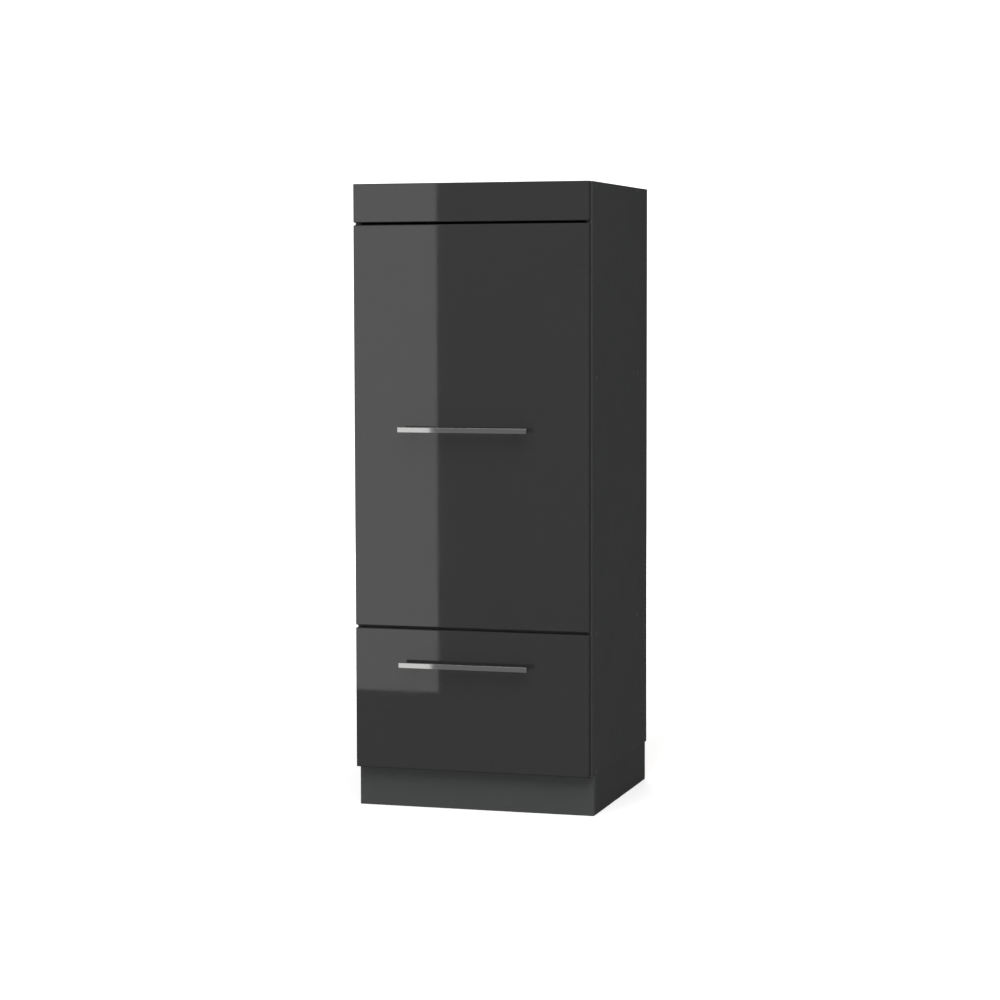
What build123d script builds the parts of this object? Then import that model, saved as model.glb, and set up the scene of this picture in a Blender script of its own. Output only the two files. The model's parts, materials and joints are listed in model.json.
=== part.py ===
from build123d import *
import os

# Tall kitchen cabinet: gloss fronts on a board carcass, with a hinged door above a pull-out drawer.
# Millimetres. The origin is on the floor under the middle of the cabinet and its handles,
# +X is to the right as the fronts are seen, +Y goes to the back and +Z is up.

# Carcass
WIDTH = 600.0
HEIGHT = 1535.0
CARCASS_DEPTH = 558.0
BOARD = 16.0
EDGE_BAND_BEVEL = 0.6
LOWER_BAY = 602.0            # clear height from the divider to the fixed shelf
BACK_THICKNESS = 3.0
BACK_INSET = 14.0            # from the rear edges to the back panel
GROOVE_DEPTH = 8.0
GROOVE_PLAY = 0.3
WALL_RAIL_HEIGHT = 80.0
WALL_HOLE_PITCH = 400.0
WALL_HOLE_RADIUS = 3.5
ROW_FRONT = 37.0             # line of bores behind the front edge
ROW_REAR = 105.0             # line of bores in front of the rear edge

# Housing screws that hold the fixed boards, each under a flush cap
HOUSING_SCREW_RADIUS = 3.5
HOUSING_LENGTH = 50.0
CAP_RADIUS = 6.5
CAP_THICKNESS = 1.2
SCREW_FIT = 0.1
SCREW_SIDES = 6              # small fasteners and their bores are prisms
CAP_SIDES = 8
TUBE_SIDES = 12
WHEEL_SIDES = 20             # hinge cups and rollers

# Loose shelves on pins
SHELF_SETBACK = 25.0
SHELF_SIDE_PLAY = 1.0
PIN_PITCH = 32.0
PIN_ROW_MARGIN = 180.0       # from a fixed board to the first bore
PIN_BORE_RADIUS = 2.5
PIN_BORE_DEPTH = 10.0
PIN_COLLAR_RADIUS = 4.5
PIN_COLLAR = 1.2
PIN_PEG_RADIUS = 3.5
PIN_PEG_LENGTH = 9.0
PIN_FLAT = 2.5               # from the pin's axis up to its flat seat
SHELF_HINGE_AIR = 4.0        # least height between a loose shelf and a hinge plate

# Fronts
FRONT_THICKNESS = 19.0
FRONT_STANDOFF = 3.0         # air between the fronts and the carcass edges
FRONT_REVEAL = 2.0           # the fronts are this much narrower on each side
FRONT_LIFT = 2.0             # lower edge of the drawer front above the underside of the carcass
DRAWER_FRONT_HEIGHT = 347.0
DOOR_GAP = 6.0
FASCIA_HEIGHT = 94.0
FASCIA_GAP = 6.0
CORNER_BEVEL = 1.5
FACE_ROUND = 2.2
REAR_BEVEL = 1.5

# Bar handles
HANDLE_LENGTH = 326.0
HANDLE_PITCH = 256.0
HANDLE_BAR_HEIGHT = 12.0
HANDLE_BAR_DEPTH = 10.0
HANDLE_PROJECTION = 36.0
HANDLE_ROUND = 1.6
HANDLE_END_BEVEL = 0.6
HANDLE_POST_RADIUS = 5.0
HANDLE_OFFSET = -12.0        # middle of the bar from the middle of the front
DOOR_HANDLE_RISE = 485.0     # above the lower edge of the door
DRAWER_HANDLE_DROP = 85.5    # below the upper edge of the drawer front
HANDLE_SCREW_RADIUS = 2.0
HANDLE_SCREW_HEAD_RADIUS = 4.5
HANDLE_SCREW_HEAD = 2.5
HANDLE_SCREW_GRIP = 9.0      # into the post

# Plinth
PLINTH_HEIGHT = 98.0
PLINTH_SETBACK = 13.0
PLINTH_REAR_SETBACK = 15.0
PLINTH_BLOCK_LEG = 45.0
PLINTH_BLOCK_HEIGHT = 60.0

# Small wood screws and steel angles
SMALL_HEAD_RADIUS = 3.6
SMALL_HEAD = 1.5
SMALL_SHANK_RADIUS = 1.8
SMALL_LENGTH = 12.0
ANGLE_SHEET = 2.0
FASCIA_ANGLE_WIDTH = 24.0
FASCIA_ANGLE_DROP = 50.0
FASCIA_ANGLE_REACH = 40.0
FASCIA_ANGLE_INSET = 70.0    # from the side panel to the middle of the angle

# Concealed hinges, one pin each
HINGE_FROM_END = 90.0        # from each end of the door to the outer hinges
CUP_EDGE = 3.0               # from the edge of the door to the cup
CUP_RADIUS = 17.5
CUP_DEPTH = 13.5
CUP_WALL = 0.6
CUP_FIT = 0.1
CUP_FLANGE = 1.0
CUP_FLANGE_RADIUS = 18.2
CUP_EAR_SPAN = 62.0
CUP_EAR_WIDTH = 16.0
EAR_BEVEL = 4.0
CUP_EAR_OFFSET = 7.0
CUP_SCREW_PITCH = 46.0
PIVOT_FROM_EDGE = 8.0
PIVOT_FROM_REAR = 9.5        # from the rear face of the door to the pin
HINGE_PIN_RADIUS = 1.5
HINGE_PIN_PLAY = 0.05
EYE_RADIUS = 2.6
ARM_RISE = 14.0              # outer face of the arm above the side panel
ARM_WIDTH = 15.0
ARM_SHEET = 1.5
ARM_LENGTH = 48.0
ARM_START = 12.0             # behind the front edge of the carcass
NECK_WIDTH = 10.0
NECK_THICKNESS = 3.0
NECK_LAP = 5.0
NECK_ROUND = 5.0
NECK_BELOW_PIN = 0.5
PLATE_THICKNESS = 2.5
PLATE_RAIL_RISE = 8.0
PLATE_RAIL_WIDTH = 10.0
PLATE_RAIL_PLAY = 2.0        # the arm overhangs the rail at each end
PLATE_WING_SPAN = 50.0
PLATE_WING_WIDTH = 15.0
PLATE_SCREW_PITCH = 32.0
ARM_SCREW_RADIUS = 2.0
ARM_SCREW_HEAD_RADIUS = 3.8
ARM_SCREW_HEAD = 2.0

# Bumpers
BUMPER_RADIUS = 4.0
BUMPER_PLAY = 0.1
BUMPER_FROM_END = 40.0

# Drawer and its runners
STEEL = 1.2
RAIL_SETBACK = 3.0
RAIL_LIFT = 18.0             # above the bottom board
RAIL_DEPTH = 11.0
RAIL_REAR_GAP = 36.0
ROLLER_RADIUS = 9.0
ROLLER_WIDTH = 7.0
ROLLER_PLAY = 0.3
ROLLER_INSET = 14.0          # from the end of its carrier to the axle
AXLE_RADIUS = 2.5
AXLE_PLAY = 0.05
AXLE_HEAD_RADIUS = 4.2
AXLE_HEAD = 0.8
TRACK_WIDTH = 10.0
WALL_GAP = 14.8              # from the side panel to the outer face of the drawer wall
DRAWER_WALL_HEIGHT = 86.0
DRAWER_WALL_SINK = 17.4      # lower edge of the wall below the track
DRAWER_LEDGE = 12.0
DRAWER_HEM = 5.0
DRAWER_HEM_LIP = 7.0
DRAWER_REAR_GAP = 45.0       # from the drawer to the back panel
DRAWER_BACK_HEIGHT = 180.0
DRAWER_PLAY = 0.2
RUNNER_SCREW_SPACING = 192.0
RUNNER_SCREW_COUNT = 3
BRACKET_LEG = 25.0
BRACKET_HEIGHT = 50.0
BRACKET_LIFT = 6.0
BRACKET_SCREW_PITCH = 28.0
GALLERY_RADIUS = 5.0
GALLERY_WALL = 1.0
GALLERY_DROP = 20.0          # below the upper edge of the drawer back
GALLERY_INSET = 10.0         # from the drawer wall to the tube's axis
SOCKET_RADIUS = 8.0
SOCKET_LENGTH = 14.0
SOCKET_BORE = 10.0
SOCKET_PLAY = 0.05

# Planes and levels worked out from the sizes above
half = WIDTH / 2
inner = half - BOARD
front_half = half - FRONT_REVEAL
y_handle = -(HANDLE_PROJECTION + FRONT_THICKNESS + FRONT_STANDOFF + CARCASS_DEPTH) / 2
y_face = y_handle + HANDLE_PROJECTION
y_front_rear = y_face + FRONT_THICKNESS
y_carcass = y_front_rear + FRONT_STANDOFF
y_rear = y_carcass + CARCASS_DEPTH
y_panel = y_rear - BACK_INSET - BACK_THICKNESS
y_shelf_rear = y_panel - GROOVE_PLAY
bottom_top = PLINTH_HEIGHT + BOARD
top_under = HEIGHT - BOARD
drawer_front_low = PLINTH_HEIGHT + FRONT_LIFT
drawer_front_high = drawer_front_low + DRAWER_FRONT_HEIGHT
door_low = drawer_front_high + DOOR_GAP
fascia_low = HEIGHT - FASCIA_HEIGHT
door_high = fascia_low - FASCIA_GAP
divider_low = door_low - BOARD
fixed_low = door_low + LOWER_BAY
fixed_high = fixed_low + BOARD
bore_rows = (y_carcass + ROW_FRONT, y_rear - ROW_REAR)
pin_to_shelf = PIN_FLAT + BOARD / 2  # from a pin's axis up to the middle of its shelf
hinge_levels = (door_low + HINGE_FROM_END, (door_low + door_high) / 2, door_high - HINGE_FROM_END)
pivot_x = -front_half + PIVOT_FROM_EDGE
pivot_y = y_front_rear - PIVOT_FROM_REAR
cup_x = -front_half + CUP_EDGE + CUP_RADIUS

parts = {}


def block(x0, x1, y0, y1, z0, z1):
    solid = Box(x1 - x0, y1 - y0, z1 - z0, align=(Align.MIN, Align.MIN, Align.MIN))
    return Pos(x0, y0, z0) * solid


def strip(x0, x1, y0, y1):
    return Pos((x0 + x1) / 2, (y0 + y1) / 2) * Rectangle(x1 - x0, y1 - y0)


def prism(radius, low, high, sides):
    return Pos(0, 0, low) * extrude(RegularPolygon(radius, sides), high - low)


def aimed(solid, start, direction):
    # Puts the solid's origin at start and its +Z along direction, with a corner of its prisms upright.
    upright = (1, 0, 0) if direction[2] else (0, 0, 1)
    return Plane(origin=start, x_dir=upright, z_dir=direction) * solid


def screw(head_radius, head, shank_radius, length, fit=0.0):
    # The head sits on z = 0 and the shank goes up from there.
    top = prism(head_radius + fit, -head, 0, SCREW_SIDES)
    return top + prism(shank_radius + fit, 0, length, SCREW_SIDES)


def small_screw(fit=0.0, length=SMALL_LENGTH):
    return screw(SMALL_HEAD_RADIUS, SMALL_HEAD, SMALL_SHANK_RADIUS, length, fit)


def group(solids):
    return Compound([piece for solid in solids for piece in solid.solids()])


def flipped(solid):
    return mirror(solid, about=Plane.YZ)


def both_sides(solid):
    return [solid, flipped(solid)]


def pin_levels(low, high):
    # Bores on a fixed pitch about the middle of a bay, without those where a shelf would meet a hinge.
    # A row that lies wholly behind a hinge grows by a bore at each end until one is clear.
    count = max(1, int((high - low - 2 * PIN_ROW_MARGIN) // PIN_PITCH) + 1)
    reach = (PLATE_WING_SPAN + BOARD) / 2 + SHELF_HINGE_AIR
    clear = []
    while not clear:
        first = (low + high - (count - 1) * PIN_PITCH) / 2
        levels = [first + index * PIN_PITCH for index in range(count)]
        clear = [z for z in levels if min(abs(z + pin_to_shelf - hinge) for hinge in hinge_levels) > reach]
        count += 2
    return clear


def housing_screw(fit=0.0):
    # From under its cap in the side panel into the end of a board.
    return prism(HOUSING_SCREW_RADIUS + fit, CAP_THICKNESS, HOUSING_LENGTH + fit, SCREW_SIDES)


def cover_cap(fit=0.0):
    return prism(CAP_RADIUS + fit, 0, CAP_THICKNESS, CAP_SIDES)


def make_carcass():
    board_levels = {
        "top_panel": (top_under, HEIGHT),
        "fixed_shelf": (fixed_low, fixed_high),
        "drawer_divider": (divider_low, door_low),
        "bottom_panel": (PLINTH_HEIGHT, bottom_top),
    }
    groove = (y_panel - GROOVE_PLAY, y_panel + BACK_THICKNESS + GROOVE_PLAY)
    panel_hole = Cylinder(WALL_HOLE_RADIUS, CARCASS_DEPTH)
    wall_z = top_under - WALL_RAIL_HEIGHT / 2
    wall_holes = [aimed(panel_hole, (side * WALL_HOLE_PITCH / 2, y_panel, wall_z), (0, 1, 0)) for side in (-1, 1)]

    # Housing screws through the right side panel; the left side is its mirror image.
    starts = [(half, y, sum(levels) / 2) for levels in board_levels.values() for y in bore_rows]
    screws = [aimed(housing_screw(), start, (-1, 0, 0)) for start in starts]
    caps = [aimed(cover_cap(), start, (-1, 0, 0)) for start in starts]
    bores = [aimed(housing_screw(SCREW_FIT) + cover_cap(SCREW_FIT), start, (-1, 0, 0)) for start in starts]
    parts["housing_screws"] = group([copy for item in screws for copy in both_sides(item)])
    parts["screw_caps"] = group([copy for item in caps for copy in both_sides(item)])

    # Fixed boards between the sides
    end_bores = [copy for item in bores for copy in both_sides(item)]
    for name, (low, high) in board_levels.items():
        through = name in ("top_panel", "bottom_panel")
        board = block(-inner, inner, y_carcass, y_rear if through else y_shelf_rear, low, high)
        front_edges = board.faces().sort_by(Axis.Y)[0].edges().filter_by(Axis.X)
        board = chamfer(front_edges, EDGE_BAND_BEVEL)
        if name == "top_panel":
            board -= block(-inner, inner, *groove, low, low + GROOVE_DEPTH)
        if name == "bottom_panel":
            board -= block(-inner, inner, *groove, high - GROOVE_DEPTH, high)
        middle = (low + high) / 2
        parts[name] = board - [bore for bore in end_bores if abs(bore.center().Z - middle) < BOARD / 2]

    # Side panels
    side = block(inner, half, y_carcass, y_rear, PLINTH_HEIGHT, HEIGHT)
    side = chamfer(side.faces().sort_by(Axis.Y)[0].edges().filter_by(Axis.Z), EDGE_BAND_BEVEL)
    pin_rows = pin_levels(door_low, fixed_low) + pin_levels(fixed_high, top_under)
    pin_bore = prism(PIN_BORE_RADIUS, 0, PIN_BORE_DEPTH, SCREW_SIDES)
    cuts = [aimed(pin_bore, (inner, y, z), (1, 0, 0)) for z in pin_rows for y in bore_rows]
    cuts += [aimed(small_screw(SCREW_FIT), start, (1, 0, 0)) for start in runner_screw_starts()]
    cuts.append(block(inner, inner + GROOVE_DEPTH, *groove, PLINTH_HEIGHT, HEIGHT))
    side -= cuts + bores
    plate_bores = [aimed(small_screw(SCREW_FIT), start, (-1, 0, 0)) for start in plate_screw_starts()]
    parts["right_side_panel"] = side
    parts["left_side_panel"] = flipped(side) - plate_bores

    # Back panel in its grooves, and the rail that takes the wall screws
    reach = inner + GROOVE_DEPTH - GROOVE_PLAY
    back_low = bottom_top - GROOVE_DEPTH + GROOVE_PLAY
    back_high = top_under + GROOVE_DEPTH - GROOVE_PLAY
    back = block(-reach, reach, y_panel, y_panel + BACK_THICKNESS, back_low, back_high)
    rail = block(-inner, inner, y_shelf_rear - BOARD, y_shelf_rear, top_under - WALL_RAIL_HEIGHT, top_under)
    parts["back_panel"] = back - wall_holes
    parts["wall_rail"] = rail - wall_holes


def make_loose_shelves():
    stud = prism(PIN_BORE_RADIUS - SCREW_FIT, SCREW_FIT - PIN_BORE_DEPTH, 0, SCREW_SIDES)
    stud += prism(PIN_COLLAR_RADIUS, 0, PIN_COLLAR, SCREW_SIDES)
    stud += prism(PIN_PEG_RADIUS, PIN_COLLAR, PIN_COLLAR + PIN_PEG_LENGTH, SCREW_SIDES)
    pins = []
    shelf_half = inner - PIN_COLLAR - SHELF_SIDE_PLAY
    for name, low, high in (("lower_shelf", door_low, fixed_low), ("upper_shelf", fixed_high, top_under)):
        axis = min(pin_levels(low, high), key=lambda level: abs(level + pin_to_shelf - (low + high) / 2))
        seat = axis + PIN_FLAT
        for y in bore_rows:
            pin = aimed(stud, (inner, y, axis), (-1, 0, 0))
            top = (y - PIN_COLLAR_RADIUS, y + PIN_COLLAR_RADIUS, seat, axis + PIN_COLLAR_RADIUS)
            pins += both_sides(pin - block(inner - PIN_COLLAR - PIN_PEG_LENGTH, inner - PIN_COLLAR, *top))
        shelf = block(-shelf_half, shelf_half, y_carcass + SHELF_SETBACK, y_shelf_rear, seat, seat + BOARD)
        parts[name] = chamfer(shelf.faces().sort_by(Axis.Y)[0].edges().filter_by(Axis.X), EDGE_BAND_BEVEL)
    parts["shelf_pins"] = group(pins)


def make_plinth():
    front = y_carcass + PLINTH_SETBACK
    rear = y_rear - PLINTH_REAR_SETBACK
    right = block(inner, half, front + BOARD, rear, 0, PLINTH_HEIGHT)
    parts["plinth_front"] = block(-half, half, front, front + BOARD, 0, PLINTH_HEIGHT)
    parts["plinth_back"] = block(-inner, inner, rear - BOARD, rear, 0, PLINTH_HEIGHT)
    parts["plinth_right"] = right
    parts["plinth_left"] = flipped(right)

    # Glue blocks in the four corners, up against the bottom panel
    leg = PLINTH_BLOCK_LEG
    base = PLINTH_HEIGHT - PLINTH_BLOCK_HEIGHT
    blocks = []
    for corner, way in ((front + BOARD, 1), (rear - BOARD, -1)):
        triangle = Polyline((inner, corner), (inner - leg, corner), (inner, corner + way * leg), close=True)
        wedge = extrude(make_face(triangle), PLINTH_BLOCK_HEIGHT, dir=(0, 0, 1))
        blocks += both_sides(Pos(0, 0, base) * wedge)
    parts["plinth_blocks"] = group(blocks)


def front_panel(low, high):
    outline = chamfer(Rectangle(2 * front_half, high - low).vertices(), CORNER_BEVEL)
    outline = Pos(0, (low + high) / 2) * outline
    plane = Plane(origin=(0, y_front_rear, 0), x_dir=(1, 0, 0), z_dir=(0, -1, 0))
    panel = extrude(plane * outline, FRONT_THICKNESS)
    panel = fillet(panel.faces().sort_by(Axis.Y)[0].edges(), FACE_ROUND)
    return chamfer(panel.faces().sort_by(Axis.Y)[-1].edges(), REAR_BEVEL)


def handle_screw(fit=0.0):
    length = FRONT_THICKNESS + HANDLE_SCREW_GRIP
    return screw(HANDLE_SCREW_HEAD_RADIUS, HANDLE_SCREW_HEAD, HANDLE_SCREW_RADIUS, length, fit)


def make_handle(prefix, level):
    # A flat bar on two round posts, held by a screw through the front into each post.
    bar = Box(HANDLE_LENGTH, HANDLE_BAR_DEPTH, HANDLE_BAR_HEIGHT)
    bar = chamfer(bar.faces().filter_by(Axis.X).edges(), HANDLE_END_BEVEL)
    bar = fillet(bar.edges().filter_by(Axis.X), HANDLE_ROUND)
    parts[prefix + "_handle_bar"] = Pos(HANDLE_OFFSET, y_handle + HANDLE_BAR_DEPTH / 2, level) * bar
    post = prism(HANDLE_POST_RADIUS, 0, HANDLE_PROJECTION - HANDLE_BAR_DEPTH, TUBE_SIDES)
    feet = [(HANDLE_OFFSET + side * HANDLE_PITCH / 2, y_front_rear, level) for side in (-1, 1)]
    holes = [aimed(handle_screw(SCREW_FIT), foot, (0, -1, 0)) for foot in feet]
    posts = [aimed(post, (foot[0], y_face, level), (0, -1, 0)) - holes for foot in feet]
    parts[prefix + "_handle_posts"] = group(posts)
    parts[prefix + "_handle_screws"] = group([aimed(handle_screw(), foot, (0, -1, 0)) for foot in feet])
    return holes


def make_bumpers(name, spots):
    pad = prism(BUMPER_RADIUS, 0, FRONT_STANDOFF - BUMPER_PLAY, CAP_SIDES)
    parts[name] = group([aimed(pad, (x, y_front_rear, z), (0, 1, 0)) for x, z in spots])


def make_fascia():
    fascia = front_panel(fascia_low, HEIGHT)
    profile = strip(y_front_rear, y_front_rear + ANGLE_SHEET, top_under - FASCIA_ANGLE_DROP, top_under)
    profile += strip(y_front_rear, y_carcass + FASCIA_ANGLE_REACH, top_under - ANGLE_SHEET, top_under)
    middle = inner - FASCIA_ANGLE_INSET
    plane = Plane(origin=(middle, 0, 0), x_dir=(0, 1, 0), z_dir=(1, 0, 0))
    angle = extrude(plane * profile, FASCIA_ANGLE_WIDTH / 2, both=True)
    y_heads = y_front_rear + ANGLE_SHEET
    z_heads = top_under - ANGLE_SHEET
    into_front = [(middle, y_heads, top_under - share * FASCIA_ANGLE_DROP) for share in (0.4, 0.75)]
    into_top = [(middle, y_carcass + share * FASCIA_ANGLE_REACH, z_heads) for share in (0.35, 0.75)]
    aims = [(start, (0, -1, 0)) for start in into_front] + [(start, (0, 0, 1)) for start in into_top]
    screws = [aimed(small_screw(), *aim) for aim in aims]
    holes = [aimed(small_screw(SCREW_FIT), *aim) for aim in aims]
    all_holes = holes + [flipped(hole) for hole in holes]
    parts["top_fascia"] = fascia - all_holes
    parts["top_panel"] -= all_holes
    parts["fascia_brackets"] = group(both_sides(angle - holes))
    parts["fascia_bracket_screws"] = group([copy for item in screws for copy in both_sides(item)])


def plate_screw_starts():
    x = -inner + PLATE_THICKNESS
    y = y_carcass + ROW_FRONT
    return [(x, y, z + side * PLATE_SCREW_PITCH / 2) for z in hinge_levels for side in (-1, 1)]


def cup_screw_starts():
    x = cup_x + CUP_EAR_OFFSET
    y = y_front_rear + CUP_FLANGE
    return [(x, y, z + side * CUP_SCREW_PITCH / 2) for z in hinge_levels for side in (-1, 1)]


def hinge_cup(level):
    # A pressed cup with a flange and two ears, open to the back; the pin stands between its walls.
    ears = chamfer(Rectangle(CUP_EAR_SPAN, CUP_EAR_WIDTH).vertices(), EAR_BEVEL)
    ears = Pos(0, CUP_EAR_OFFSET, -CUP_FLANGE) * extrude(ears, CUP_FLANGE)
    shell = prism(CUP_FLANGE_RADIUS, -CUP_FLANGE, 0, WHEEL_SIDES) + ears + prism(CUP_RADIUS, 0, CUP_DEPTH, WHEEL_SIDES)
    shell -= cup_hollow()
    holes = [aimed(small_screw(SCREW_FIT), start, (0, -1, 0)) for start in cup_screw_starts()]
    return aimed(shell, (cup_x, y_front_rear, level), (0, -1, 0)) - holes


def cup_hollow():
    return prism(CUP_RADIUS - CUP_WALL, -CUP_FLANGE, CUP_DEPTH - CUP_WALL, WHEEL_SIDES)


def hinge_pin(level, play=0.0):
    # The pin crosses the cup from wall to wall.
    pin = Pos(pivot_x, pivot_y, level) * Cylinder(HINGE_PIN_RADIUS + play, 2 * CUP_RADIUS)
    return pin & aimed(cup_hollow(), (cup_x, y_front_rear, level), (0, -1, 0))


def hinge_plate(level):
    # A cross-shaped base on the side panel, with the rail that the arm straddles.
    plane = Plane(origin=(-inner, y_carcass, level), x_dir=(0, 1, 0), z_dir=(1, 0, 0))
    wings = Pos(ROW_FRONT, 0) * chamfer(Rectangle(PLATE_WING_WIDTH, PLATE_WING_SPAN).vertices(), EAR_BEVEL)
    rail_start = ARM_START + PLATE_RAIL_PLAY
    rail_end = ARM_START + ARM_LENGTH - PLATE_RAIL_PLAY
    rail = strip(rail_start, rail_end, -PLATE_RAIL_WIDTH / 2, PLATE_RAIL_WIDTH / 2)
    plate = extrude(plane * wings, PLATE_THICKNESS) + extrude(plane * rail, PLATE_RAIL_RISE)
    holes = [aimed(small_screw(SCREW_FIT), start, (-1, 0, 0)) for start in plate_screw_starts()]
    return plate - holes - aimed(arm_screw(SCREW_FIT), arm_screw_start(level), (-1, 0, 0))


def arm_screw_start(level):
    return (-inner + ARM_RISE, y_carcass + ROW_FRONT, level)


def arm_screw(fit=0.0):
    length = ARM_RISE - PLATE_THICKNESS
    return screw(ARM_SCREW_HEAD_RADIUS, ARM_SCREW_HEAD, ARM_SCREW_RADIUS, length, fit)


def hinge_arm(level):
    # A channel over the plate's rail, and a cranked neck that reaches round the door's edge to the pin.
    plane = Plane(origin=(-inner, 0, level), x_dir=(1, 0, 0), z_dir=(0, 1, 0))
    start = y_carcass + ARM_START
    reach = ARM_WIDTH / 2
    section = strip(PLATE_THICKNESS, ARM_RISE, -reach, reach)
    section -= strip(PLATE_THICKNESS, ARM_RISE - ARM_SHEET, ARM_SHEET - reach, reach - ARM_SHEET)
    channel = Pos(0, start, 0) * extrude(plane * section, ARM_LENGTH)

    out = -inner + ARM_RISE
    tip = pivot_y - EYE_RADIUS
    under = pivot_y + NECK_BELOW_PIN
    root = start + NECK_LAP
    outline = Polyline(
        (pivot_x, tip),
        (out, tip),
        (out, root),
        (out - NECK_THICKNESS, root),
        (out - NECK_THICKNESS, under),
        (pivot_x, under),
        close=True,
    )
    neck = make_face(outline)
    bend = neck.vertices().sort_by_distance((out, tip))[0]
    neck = fillet(bend, NECK_ROUND)
    inner_bend = neck.vertices().sort_by_distance((out - NECK_THICKNESS, under))[0]
    neck = fillet(inner_bend, NECK_ROUND - NECK_THICKNESS)
    neck += Pos(pivot_x, pivot_y) * RegularPolygon(EYE_RADIUS, TUBE_SIDES)
    hook = extrude(Pos(0, 0, level) * neck, NECK_WIDTH / 2, both=True)
    return channel + hook - hinge_pin(level, HINGE_PIN_PLAY) - aimed(
        arm_screw(SCREW_FIT), arm_screw_start(level), (-1, 0, 0)
    )


def make_hinges():
    for name, level in zip(("lower", "middle", "upper"), hinge_levels):
        parts["hinge_arm_" + name] = hinge_arm(level)
        parts["hinge_cup_" + name] = hinge_cup(level)
    parts["hinge_plates"] = group([hinge_plate(level) for level in hinge_levels])
    parts["hinge_pins"] = group([hinge_pin(level) for level in hinge_levels])
    parts["hinge_arm_screws"] = group(
        [aimed(arm_screw(), arm_screw_start(level), (-1, 0, 0)) for level in hinge_levels]
    )
    parts["hinge_plate_screws"] = group(
        [aimed(small_screw(), start, (-1, 0, 0)) for start in plate_screw_starts()]
    )
    parts["hinge_cup_screws"] = group(
        [aimed(small_screw(), start, (0, -1, 0)) for start in cup_screw_starts()]
    )


def make_door():
    handle_holes = make_handle("door", door_low + DOOR_HANDLE_RISE)
    seat = prism(CUP_RADIUS + CUP_FIT, 0, CUP_DEPTH, WHEEL_SIDES)
    seats = [aimed(seat, (cup_x, y_front_rear, z), (0, -1, 0)) for z in hinge_levels]
    pilots = [aimed(small_screw(SCREW_FIT), start, (0, -1, 0)) for start in cup_screw_starts()]
    parts["door_panel"] = front_panel(door_low, door_high) - handle_holes - seats - pilots
    edge = inner + BOARD / 2
    spots = [(edge, door_low + BUMPER_FROM_END), (edge, door_high - BUMPER_FROM_END)]
    make_bumpers("door_bumpers", spots)


# Runner levels: the rail's channel, the roller on the rail, the drawer's track and the roller on the drawer
rail_low = bottom_top + RAIL_LIFT
channel_low = rail_low + STEEL
channel_high = channel_low + 2 * (ROLLER_RADIUS + ROLLER_PLAY)
track_low = channel_high + STEEL + ROLLER_PLAY
drawer_axle_z = channel_low + ROLLER_PLAY + ROLLER_RADIUS
rail_axle_z = track_low - ROLLER_PLAY - ROLLER_RADIUS
wall_low = track_low - DRAWER_WALL_SINK
wall_high = wall_low + DRAWER_WALL_HEIGHT
wall_out = inner - WALL_GAP
wall_in = wall_out - STEEL
rail_front = y_carcass + RAIL_SETBACK
rail_rear = y_panel - RAIL_REAR_GAP
drawer_rear = y_panel - DRAWER_REAR_GAP
drawer_floor_low = wall_low + STEEL
drawer_floor_high = drawer_floor_low + BOARD
rail_axle_y = rail_front + ROLLER_INSET
drawer_axle_y = drawer_rear - ROLLER_INSET
roller_out = inner - STEEL - SMALL_HEAD - AXLE_HEAD - 2 * ROLLER_PLAY
roller_in = roller_out - ROLLER_WIDTH


def runner_screw_starts():
    z = (channel_low + channel_high) / 2
    first = y_carcass + ROW_FRONT
    return [(inner - STEEL, first + index * RUNNER_SCREW_SPACING, z) for index in range(RUNNER_SCREW_COUNT)]


def along_y(section, front, rear):
    plane = Plane(origin=(0, rear, 0), x_dir=(1, 0, 0), z_dir=(0, -1, 0))
    return extrude(plane * section, rear - front)


def axle(start, direction, length):
    # A riveted stub with a head that keeps the roller on.
    stub = Cylinder(AXLE_RADIUS, length, align=(Align.CENTER, Align.CENTER, Align.MIN))
    stub += prism(AXLE_HEAD_RADIUS, length, length + AXLE_HEAD, CAP_SIDES)
    return aimed(stub, start, direction)


def roller(y, z):
    wheel = prism(ROLLER_RADIUS, 0, ROLLER_WIDTH, WHEEL_SIDES)
    wheel -= Cylinder(AXLE_RADIUS + AXLE_PLAY, 2 * ROLLER_WIDTH)
    return aimed(wheel, (roller_in, y, z), (1, 0, 0))


def make_runners():
    rail_reach = inner - RAIL_DEPTH
    section = strip(inner - STEEL, inner, rail_low, channel_high + STEEL)
    section += strip(rail_reach, inner, rail_low, channel_low)
    section += strip(rail_reach, inner, channel_high, channel_high + STEEL)
    rail = along_y(section, rail_front, rail_rear)
    notch_end = rail_axle_y + ROLLER_RADIUS + STEEL
    rail -= block(rail_reach, inner - STEEL, rail_front, notch_end, channel_high, channel_high + STEEL)
    stub_length = inner - STEEL - roller_in + ROLLER_PLAY
    rail += axle((inner - STEEL, rail_axle_y, rail_axle_z), (-1, 0, 0), stub_length)
    rail -= [aimed(small_screw(SCREW_FIT), start, (1, 0, 0)) for start in runner_screw_starts()]
    parts["runner_rail_right"] = rail
    parts["runner_rail_left"] = flipped(rail)
    screws = [aimed(small_screw(), start, (1, 0, 0)) for start in runner_screw_starts()]
    parts["runner_screws"] = group([copy for item in screws for copy in both_sides(item)])

    rail_roller = roller(rail_axle_y, rail_axle_z)
    drawer_roller = roller(drawer_axle_y, drawer_axle_z)
    parts["rail_roller_right"] = rail_roller
    parts["rail_roller_left"] = flipped(rail_roller)
    parts["drawer_roller_right"] = drawer_roller
    parts["drawer_roller_left"] = flipped(drawer_roller)


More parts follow.
